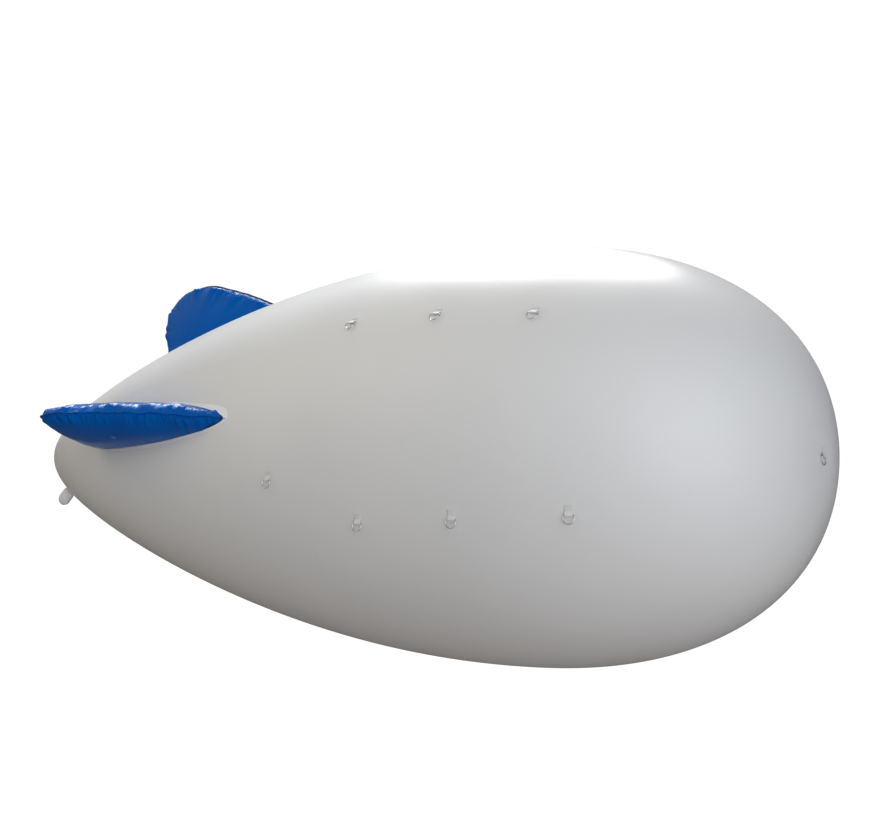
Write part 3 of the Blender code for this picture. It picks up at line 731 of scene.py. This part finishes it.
def makeValve(this, turn):
    x, rho, step, side = fin["valveX"], fin["valveRadius"], finValve["probe"], this["valveSide"]

    def skin(a, b):
        return Vector((a, b, side * finHalf(a, b, this["frontX"], flange["width"])))

    along = skin(x + step, rho) - skin(x - step, rho)
    up = skin(x, rho + step) - skin(x, rho - step)
    normal = along.cross(up).normalized() * side
    along.normalize()
    axes = Matrix((along, normal.cross(along), normal)).transposed().to_4x4()
    place = Matrix.Translation(skin(x, rho)) @ axes
    rim, neck, tall = finValve["flange"], finValve["neck"], finValve["height"]
    bm = bmesh.new()
    # half section: foot, flange, knurled neck and plug
    lineOfVerts(bm, [Vector((r, 0, z)) for r, z in (
        (0, -0.004), (neck, -0.004), (rim, -0.003), (rim, 0.0008), (rim - 0.0006, 0.0014),
        (neck + 0.002, 0.0016), (neck + 0.0010, 0.0022), (neck + 0.0007, tall - 0.0012),
        (neck, tall - 0.0004), (neck - 0.002, tall), (neck - 0.004, tall - 0.0008),
        (0.003, tall - 0.0008), (0.002, tall + 0.0006), (0, tall + 0.0008))])
    lathe(bm, (0, 0, 1), 2 * pi, finValve["knurls"] * 4)
    for v in bm.verts:
        r = hypot(v.co.x, v.co.y)
        if neck < r < neck + 0.0016 and v.co.z > 0.0018:
            ridge = 1 + finValve["knurlDepth"] * cos(finValve["knurls"] * atan2(v.co.y, v.co.x))
            v.co.x, v.co.y = v.co.x * ridge, v.co.y * ridge
    piece = finished(bm, f"fin{this['label']}Valve", finishes["valvePlastic"], place=turn @ place)
    settle(piece, "valve_plastic", "fin_valve_" + this["label"].lower())


def makeFin(this, seed):
    seam = finSeam(this["frontX"], flange["width"])
    tree = kdtree.KDTree(len(seam))
    for i, (point, _, _) in enumerate(seam):
        tree.insert(point, i)
    tree.balance()
    turn = Matrix.Rotation(radians(this["clock"]), 4, "X")
    bm = bmesh.new()
    for side in (1, -1):
        pour(bm, finSkin(this, side, seam, tree, seed))
    merge(bm, fin["merge"])
    piece = finished(bm, "fin" + this["label"], finishes["finFilm"], place=turn)
    settle(piece, "fin_film", "fin_" + this["label"].lower())
    makeFlange(this, seam, turn, seed)
    makeRootTape(this, turn)
    makeValve(this, turn)


for number, place in enumerate(fin["places"]):
    makeFin(place, 11.0 + 5.3 * number)
print("fins, flanges, root tapes and valves made")


# Filling sleeve: a film tube gathered and tied under the tail's end
sleeve = dict(
    hullRadius=0.196, radius=0.037, neck=0.028, reach=0.114, inside=0.012, tieAt=0.020, film=0.0008,
    turned=4, segments=132,
    folds=11, foldDepth=0.10, foldRun=0.017, foldDrift=1.3, foldMix=0.5, twist=6,
    crush=0.06, tipFolds=0.025,        # unevenness of the closed end
    droop=0.10, droopRun=0.07,
)
collar = dict(radius=0.058, gap=0.002, rimWidth=0.002, rimDrop=0.0012, lift=0.0016, wall=0.0010, segments=96)
tie = dict(cordRadius=0.0016, slack=0.0006, turns=4, steps=40,
           pitch=1.9,                  # of a turn, in cord radii
           knotOut=0.003, knotDepth=0.0035, knotSize=0.0045, knotSteps=60)


def sleevePlace():
    x = stationWhere(sleeve["hullRadius"], hull["tailX"], hull["widestX"])
    along, out = outlineNormal(x)
    zAxis, yAxis = Vector((along, 0.0, -out)), Vector((0.0, 1.0, 0.0))
    root = Vector((x, 0.0, -hullRadius(x)))
    place = Matrix.Translation(root) @ Matrix((yAxis.cross(zAxis), yAxis, zAxis)).transposed().to_4x4()
    return place @ Matrix.Rotation(radians(sleeve["turned"]), 4, "Z")


def makeTube(place):
    down = place.to_3x3().inverted() @ Vector((0, 0, -1))
    wide, neck, tieAt = sleeve["radius"], sleeve["neck"], sleeve["tieAt"]
    bulb = sleeve["reach"] - wide
    profile = [(wide + 0.006, -sleeve["inside"]), (wide + 0.003, -0.002), (wide, 0.002),
               (wide - 0.001, 0.006), (neck + 0.005, tieAt - 0.009), (neck + 0.001, tieAt - 0.005),
               (neck, tieAt - 0.002), (neck, tieAt + 0.002), (neck + 0.001, tieAt + 0.005),
               (neck + 0.006, tieAt + 0.010), (wide - 0.001, tieAt + 0.019), (wide, tieAt + 0.028), (wide, bulb)]
    profile += [(wide * cos(a), bulb + wide * sin(a)) for a in (i * pi / 20 for i in range(1, 10))]
    profile.append((0.0, sleeve["reach"]))
    bm = bmesh.new()
    lineOfVerts(bm, [Vector((r, 0, z)) for r, z in profile])
    bmesh.ops.subdivide_edges(bm, edges=bm.edges[:], cuts=1)
    lathe(bm, (0, 0, 1), 2 * pi, sleeve["segments"])
    for v in bm.verts:
        r, spin, z = hypot(v.co.x, v.co.y), atan2(v.co.y, v.co.x), v.co.z
        if r > 1e-6:
            gather = exp(-((z - tieAt) / sleeve["foldRun"]) ** 2)
            twist = spin + sleeve["twist"] * (z - tieAt)
            wave = cos(sleeve["folds"] * twist + sleeve["foldDrift"] * sin(2 * spin))
            wave += sleeve["foldMix"] * noise.noise(Vector((3 * cos(twist), 3 * sin(twist), 4.0)))
            crush = noise.noise(Vector((v.co.x * 45, v.co.y * 45, z * 30)))
            tip = easeIn(z, tieAt, sleeve["reach"])
            swell = 1 + sleeve["foldDepth"] * gather * wave + sleeve["crush"] * tip * crush
            swell += sleeve["tipFolds"] * wave * tip
            v.co.x, v.co.y = v.co.x * swell, v.co.y * swell
        v.co += down * sleeve["droop"] * max(z - tieAt, 0) ** 2 / sleeve["droopRun"]
    faceAway(bm, lambda c: Vector((c.x, c.y, 0)))
    giveWall(bm, sleeve["film"])
    settle(finished(bm, "fillSleeve", finishes["hullFilm"], place=place), "hull_film", "fill_sleeve")


def makeCollar(place):
    bm = bmesh.new()
    bmesh.ops.create_circle(bm, cap_ends=False, segments=collar["segments"],
                            radius=sleeve["radius"] + collar["gap"])
    edge = bm.edges[:]
    for growth in (collar["radius"] - collar["rimWidth"], collar["radius"]):
        verts, edge = grownEdge(bm, edge)
        for v in verts:
            v.co = v.co.normalized() * growth
    for v in bm.verts:
        rim = collar["rimDrop"] if v.co.length > collar["radius"] - 1e-4 else 0.0
        spot = place @ v.co
        x = stationWhere(hypot(spot.y, spot.z), hull["tailX"], hull["widestX"])
        v.co = onHull(x, atan2(spot.z, spot.y), hull["capLift"] + collar["lift"] - rim)
    faceAway(bm, lambda c: Vector((-1, c.y, c.z)))
    giveWall(bm, collar["wall"])
    settle(finished(bm, "sleeveCollar", finishes["discFilm"]), "disc_film")


def makeTie(place):
    thick, turns, steps, size = tie["cordRadius"], tie["turns"], tie["steps"], tie["knotSize"]
    wrap = sleeve["neck"] + thick + tie["slack"]
    winding = []
    for i in range(turns * steps + 1):
        a = 2 * pi * i / steps
        lay = (i / (turns * steps) - 0.5) * turns * thick * tie["pitch"]
        winding.append(Vector((wrap * cos(a), wrap * sin(a), sleeve["tieAt"] + lay)))
    bm = wireAlong(winding, thick)
    knot = []
    for i in range(tie["knotSteps"]):
        a = 2 * pi * i / tie["knotSteps"]
        out = wrap + tie["knotOut"] + tie["knotDepth"] * cos(a) * (1 + 0.4 * cos(3 * a))
        knot.append(Vector((out, size * sin(2 * a), sleeve["tieAt"] + size * sin(3 * a))))
    pour(bm, wireAlong(knot, thick, closed=True))
    settle(finished(bm, "sleeveTie", finishes["tieCord"], place=place), "tie_cord", "sleeve_tie")


makeTube(sleevePlace())
makeCollar(sleevePlace())
makeTie(sleevePlace())
print("filling sleeve made")


# Mooring points: a welded pad, webbing sewn round the ring's bar, and the ring
pad = dict(radius=0.070, thickness=0.0003, filmPart=0.9, rings=28, segments=72,
           rimBevel=0.0002, rimRun=0.024,
           weldDepth=0.00003, weldIn=0.008, weldWidth=0.0025)    # groove pressed by the round welder
strap = dict(width=0.040, layer=0.0010, webPart=0.9, length=0.048, loop=0.0036,
             foldFrom=-82, foldTo=-290,    # degrees round the ring's bar
             bendFrom=0.024, underEnd=0.3, edgeDip=0.0002, cellsAcross=10, uvStretch=2.4)
stitch = dict(length=0.0030, width=0.0007, height=0.0005, pitch=0.0042, inset=0.005, nearInset=0.004)
ring = dict(wire=0.0025, width=0.0550, corner=0.006, depth=0.0400, barOverSeat=0.0113,
            bead=0.16, beadWidth=0.0016, beadReach=0.006)    # butt weld in the middle of the bar


def ringFrames():
    # each ring's name, place of its bar and angle at rest: local X along the bar, Y up round the hull, Z outward
    frames = []
    for joint in frame["joints"]:
        bar, xAxis = Vector(joint["pos_m"]), -Vector(joint["axis"]).normalized()
        outward = Vector((1, 0, 0)) if "nose" in joint["name"] else radially(bar).normalized()
        zAxis = (outward - xAxis * outward.dot(xAxis)).normalized()
        axes = Matrix((xAxis, zAxis.cross(xAxis), zAxis)).transposed().to_4x4()
        name = joint["name"].replace("ring_", "").replace("_swing", "")
        frames.append((name, Matrix.Translation(bar) @ axes, radians(-joint["range_deg"][0])))
    return frames


def overHull(place, x, y, lift):
    # point over the hull at local x, y of the bar's frame
    spot = place @ Vector((x, y, -ring["barOverSeat"]))
    r, angle = hypot(spot.y, spot.z), atan2(spot.z, spot.y)
    if spot.x > hull["widestX"] and r < 0.5 * hull["radius"]:
        return onHull(stationWhere(max(r, 1e-4), hull["noseX"], hull["widestX"]), angle, lift)
    return onHull(spot.x, angle, lift)


def padDisc(place, base):
    radius, rows = pad["radius"], pad["rings"]
    bm = bmesh.new()
    # rings crowd to the rim, so that the thin edge doesn't tilt the shading of the disc
    lineOfVerts(bm, [Vector((radius * (1 - (1 - i / rows) ** 2), 0, 0)) for i in range(rows + 1)])
    lathe(bm, (0, 0, 1), 2 * pi, pad["segments"])
    faceAway(bm, lambda c: Vector((0, 0, 1)))
    uv = bm.loops.layers.uv.new("UVMap")
    for face in bm.faces:
        for loop in face.loops:
            loop[uv].uv = (0.5 + loop.vert.co.x / (2 * radius), 0.5 + loop.vert.co.y / (2 * radius))
    for v in bm.verts:
        r = hypot(v.co.x, v.co.y)
        rim = pad["rimBevel"] * easeIn(r, radius - pad["rimRun"], radius)
        weld = pad["weldDepth"] * exp(-((r - radius + pad["weldIn"]) / pad["weldWidth"]) ** 2)
        v.co = overHull(place, v.co.x, v.co.y, base + pad["thickness"] - rim - weld)
    giveWall(bm, pad["thickness"] * pad["filmPart"])
    return bm


def strapPath(rise, base):
    # webbing's middle line as (y, lift over the hull), from the end of its lower layer
    # round the bar and back along the upper layer
    lower, upper = base + strap["layer"] * 0.5, base + strap["layer"] * 1.55
    length, loop, points = strap["length"], strap["loop"], []
    for i in range(9):
        points.append((length * (1 - i / 9) + strap["bendFrom"] * strap["underEnd"] * i / 9, lower))
    start, end = radians(strap["foldFrom"]), radians(strap["foldTo"])
    for i in range(17):
        a = start + (end - start) * i / 16
        points.append((loop * cos(a), rise + loop * sin(a)))
    y0, lift0 = points[-1]
    for i in range(1, 13):
        y = y0 + (length - y0) * i / 12
        fall = easeIn(y, y0 - 0.001, strap["bendFrom"])
        points.append((y, lift0 * (1 - fall) + upper * fall))
    return points


def strapWeb(place, rise, base):
    path = strapPath(rise, base)
    last = len(path) - 1
    bm = bmesh.new()
    gridOf(bm, last * 2, strap["cellsAcross"])
    uv = bm.loops.layers.uv.new("UVMap")
    for face in bm.faces:
        for loop in face.loops:
            loop[uv].uv = (loop.vert.co.y, loop.vert.co.x * strap["uvStretch"])
    for v in bm.verts:
        at = v.co.x * last
        i = min(int(at), last - 1)
        y = path[i][0] + (path[i + 1][0] - path[i][0]) * (at - i)
        lift = path[i][1] + (path[i + 1][1] - path[i][1]) * (at - i)
        edge = abs(v.co.y - 0.5) * 2
        v.co = overHull(place, (v.co.y - 0.5) * strap["width"], y, lift - strap["edgeDip"] * edge ** 6)
    giveWall(bm, strap["layer"] * strap["webPart"])
    return bm


def stitchRuns():
    # a sewn box with a cross, where the webbing lies flat
    side, near = strap["width"] / 2 - stitch["inset"], strap["bendFrom"] + stitch["nearInset"]
    far = strap["length"] - stitch["inset"] * 0.8
    corners = [(-side, near), (side, near), (side, far), (-side, far)]
    runs = [(corners[i], corners[(i + 1) % 4]) for i in range(4)]
    return runs + [(corners[0], corners[2]), (corners[1], corners[3])]


def stitches(place, lift):
    bm = bmesh.new()
    for (x0, y0), (x1, y1) in stitchRuns():
        count = int(hypot(x1 - x0, y1 - y0) / stitch["pitch"])
        for i in range(count):
            part = (i + 0.5) / count
            at = Matrix.Translation((x0 + (x1 - x0) * part, y0 + (y1 - y0) * part, 0))
            at = at @ Matrix.Rotation(atan2(y1 - y0, x1 - x0), 4, "Z")
            at = at @ Matrix.Diagonal((stitch["length"] / 2, stitch["width"] / 2, stitch["height"], 1))
            bmesh.ops.create_icosphere(bm, subdivisions=1, radius=1.0, matrix=at)
    for v in bm.verts:
        v.co = overHull(place, v.co.x, v.co.y, lift + v.co.z)
    return bm


def dRing():
    # bar along X through the origin, bow towards -Y
    half, corner, low = ring["width"] / 2, ring["corner"], ring["depth"] - ring["width"] / 2
    quarter = [i * pi / 16 for i in range(9)]
    points = [(-half + corner + 2 * (half - corner) * i / 10, 0.0) for i in range(10)]
    points += [(half - corner + corner * sin(a), -corner + corner * cos(a)) for a in quarter]
    points += [(half * cos(a), -low - half * sin(a)) for a in (i * pi / 40 for i in range(41))]
    points += [(-half + corner - corner * cos(a), -corner + corner * sin(a)) for a in quarter[:-1]]
    bm = wireAlong([Vector((x, y, 0)) for x, y in points], ring["wire"], closed=True, resolution=5)
    for v in bm.verts:
        if v.co.y > -ring["wire"] * 1.5 and abs(v.co.x) < ring["beadReach"]:
            bead = 1 + ring["bead"] * exp(-(v.co.x / ring["beadWidth"]) ** 2)
            v.co.y, v.co.z = v.co.y * bead, v.co.z * bead
    return bm


def makeMooring(name, place, hang):
    # rise is the bar's height over the hull, base the height of the film under the pad
    spot = place.translation
    if name == "nose":
        rise, base = spot.x - hull["noseX"], hull["capLift"]
    else:
        rise, base = (radially(spot).length - hullRadius(spot.x)) * outlineNormal(spot.x)[1], 0.0
    label = "".join(word.capitalize() for word in name.split("_"))
    bm = padDisc(place, base)
    pour(bm, strapWeb(place, rise, base + pad["thickness"]), 1)
    pour(bm, stitches(place, base + pad["thickness"] + strap["layer"] * 2.0), 2)
    mats = [finishes[mat] for mat in ("padFilm", "strapWeave", "stitchThread")]
    settle(finished(bm, "mooringPad" + label, *mats), "patch_film", "patch_" + name)
    turned = place @ Matrix.Rotation(-hang, 4, "X")
    piece = finished(dRing(), "dRing" + label, finishes["ringSteel"], place=turned)
    settle(piece, "ring_steel", "ring_" + name, body="ring_" + name)


for name, place, hang in ringFrames():
    makeMooring(name, place, hang)
print("mooring pads and rings made")


# Studio: pale floor, soft light, camera at floor level
studio = dict(
    floorZ=-1.95, floorSize=60.0, backdrop=1.05,
    ambient=(0.05, 0.05, 0.05), fromBelow=(0.22, 0.19, 0.165),
    # soft panels: azimuth and height of the middle in degrees, narrowness, radiance
    panels=((-38.0, 4.0, 6.2, (2.38, 2.47, 2.62)), (-148.0, 28.0, 11.0, (1.70, 1.56, 1.27)),
            (154.0, 38.0, 18.0, (0.60, 0.68, 0.80))),
    overhead=dict(azimuth=134.0, height=56.0, energy=3.00, spread=25.0),
)
camera = dict(place=(5.5745, -8.489, -1.9215), azimuth=-33.9876, elevation=12.1222, roll=7.0431,
              lens=77.873, sensor=36.0, farEnd=200.0)


def aim(azimuth, height):
    a, h = radians(azimuth), radians(height)
    return Vector((cos(h) * cos(a), cos(h) * sin(a), sin(h)))


def makeFloor():
    # white to the eye; the light that it would throw up comes from the studio's lower half
    bm = bmesh.new()
    bmesh.ops.create_grid(bm, x_segments=1, y_segments=1, size=studio["floorSize"] / 2)
    bmesh.ops.translate(bm, verts=bm.verts[:], vec=(0, 0, studio["floorZ"]))
    pale = Finish("floorPale", (0.8, 0.8, 0.8), 0.9)
    path, geometry = pale.node("ShaderNodeLightPath"), pale.node("ShaderNodeNewGeometry")
    glow, clear = pale.node("ShaderNodeEmission"), pale.node("ShaderNodeBsdfTransparent")
    shown = pale.node("ShaderNodeMixShader")
    glow.inputs["Strength"].default_value = studio["backdrop"]
    fromAbove = pale.maths("SUBTRACT", 1.0, geometry.outputs["Backfacing"])
    seen = pale.maths("MULTIPLY", path.outputs["Is Camera Ray"], fromAbove)
    for source, target in zip((seen, clear.outputs[0], glow.outputs[0]), shown.inputs):
        pale.feed(source, target)
    pale.feed(shown.outputs[0], pale.tree.nodes["Material Output"].inputs["Surface"])
    finished(bm, "floor", pale.material, smooth=False, recalc=False)


def makeSky():
    world = bpy.data.worlds.new("studio")
    bpy.context.scene.world = world
    world.use_nodes = True
    tree = world.node_tree

    def node(kind, operation, *values):
        made = tree.nodes.new(kind)
        made.operation = operation
        for socket, value in zip(made.inputs, values):
            if isinstance(value, bpy.types.NodeSocket):
                tree.links.new(value, socket)
            elif value is not None:
                socket.default_value = value
        return made.outputs

    def tinted(strength, tone):
        return node("ShaderNodeVectorMath", "SCALE", tone, None, None, strength)["Vector"]

    way = tree.nodes.new("ShaderNodeTexCoord").outputs["Generated"]
    down = node("ShaderNodeVectorMath", "DOT_PRODUCT", way, (0, 0, -1))["Value"]
    light = tinted(node("ShaderNodeMath", "MAXIMUM", down, 0.0)[0], studio["fromBelow"])
    light = node("ShaderNodeVectorMath", "ADD", light, studio["ambient"])["Vector"]
    for azimuth, height, narrow, tone in studio["panels"]:
        facing = node("ShaderNodeVectorMath", "DOT_PRODUCT", way, aim(azimuth, height))["Value"]
        fall = node("ShaderNodeMath", "MULTIPLY_ADD", facing, narrow, -narrow)[0]
        panel = tinted(node("ShaderNodeMath", "EXPONENT", fall)[0], tone)
        light = node("ShaderNodeVectorMath", "ADD", light, panel)["Vector"]
    mix = tree.nodes.new("ShaderNodeMix")
    mix.data_type = "RGBA"
    tree.links.new(tree.nodes.new("ShaderNodeLightPath").outputs["Is Camera Ray"], mix.inputs[0])
    tree.links.new(light, mix.inputs[6])
    mix.inputs[7].default_value = (*[studio["backdrop"]] * 3, 1.0)
    tree.links.new(mix.outputs[2], tree.nodes["Background"].inputs["Color"])


def makeOverhead():
    # soft lamp above and behind, on the side away from the camera
    overhead = studio["overhead"]
    light = bpy.data.lights.new("overhead", "SUN")
    light.energy, light.angle = overhead["energy"], radians(overhead["spread"])
    lamp = bpy.data.objects.new("overhead", light)
    toward = aim(overhead["azimuth"], overhead["height"])
    lamp.location = toward * 12
    lamp.rotation_euler = (-toward).to_track_quat("-Z", "Y").to_euler()
    bpy.context.scene.collection.objects.link(lamp)


def makeCamera():
    az, el, roll = (radians(camera[key]) for key in ("azimuth", "elevation", "roll"))
    view = Vector((sin(az) * cos(el), cos(az) * cos(el), sin(el)))
    level = view.cross(Vector((0, 0, 1))).normalized()
    upright = level.cross(view)
    right, up = level * cos(roll) + upright * sin(roll), upright * cos(roll) - level * sin(roll)
    data = bpy.data.cameras.new("camera")
    data.lens, data.sensor_width, data.clip_end = camera["lens"], camera["sensor"], camera["farEnd"]
    seat = bpy.data.objects.new("camera", data)
    seat.matrix_world = Matrix.Translation(camera["place"]) @ Matrix((right, up, -view)).transposed().to_4x4()
    bpy.context.scene.collection.objects.link(seat)
    bpy.context.scene.camera = seat


makeFloor()
makeSky()
makeOverhead()
makeCamera()
bpy.context.scene.view_settings.view_transform = "Standard"
print("floor, light and camera placed")
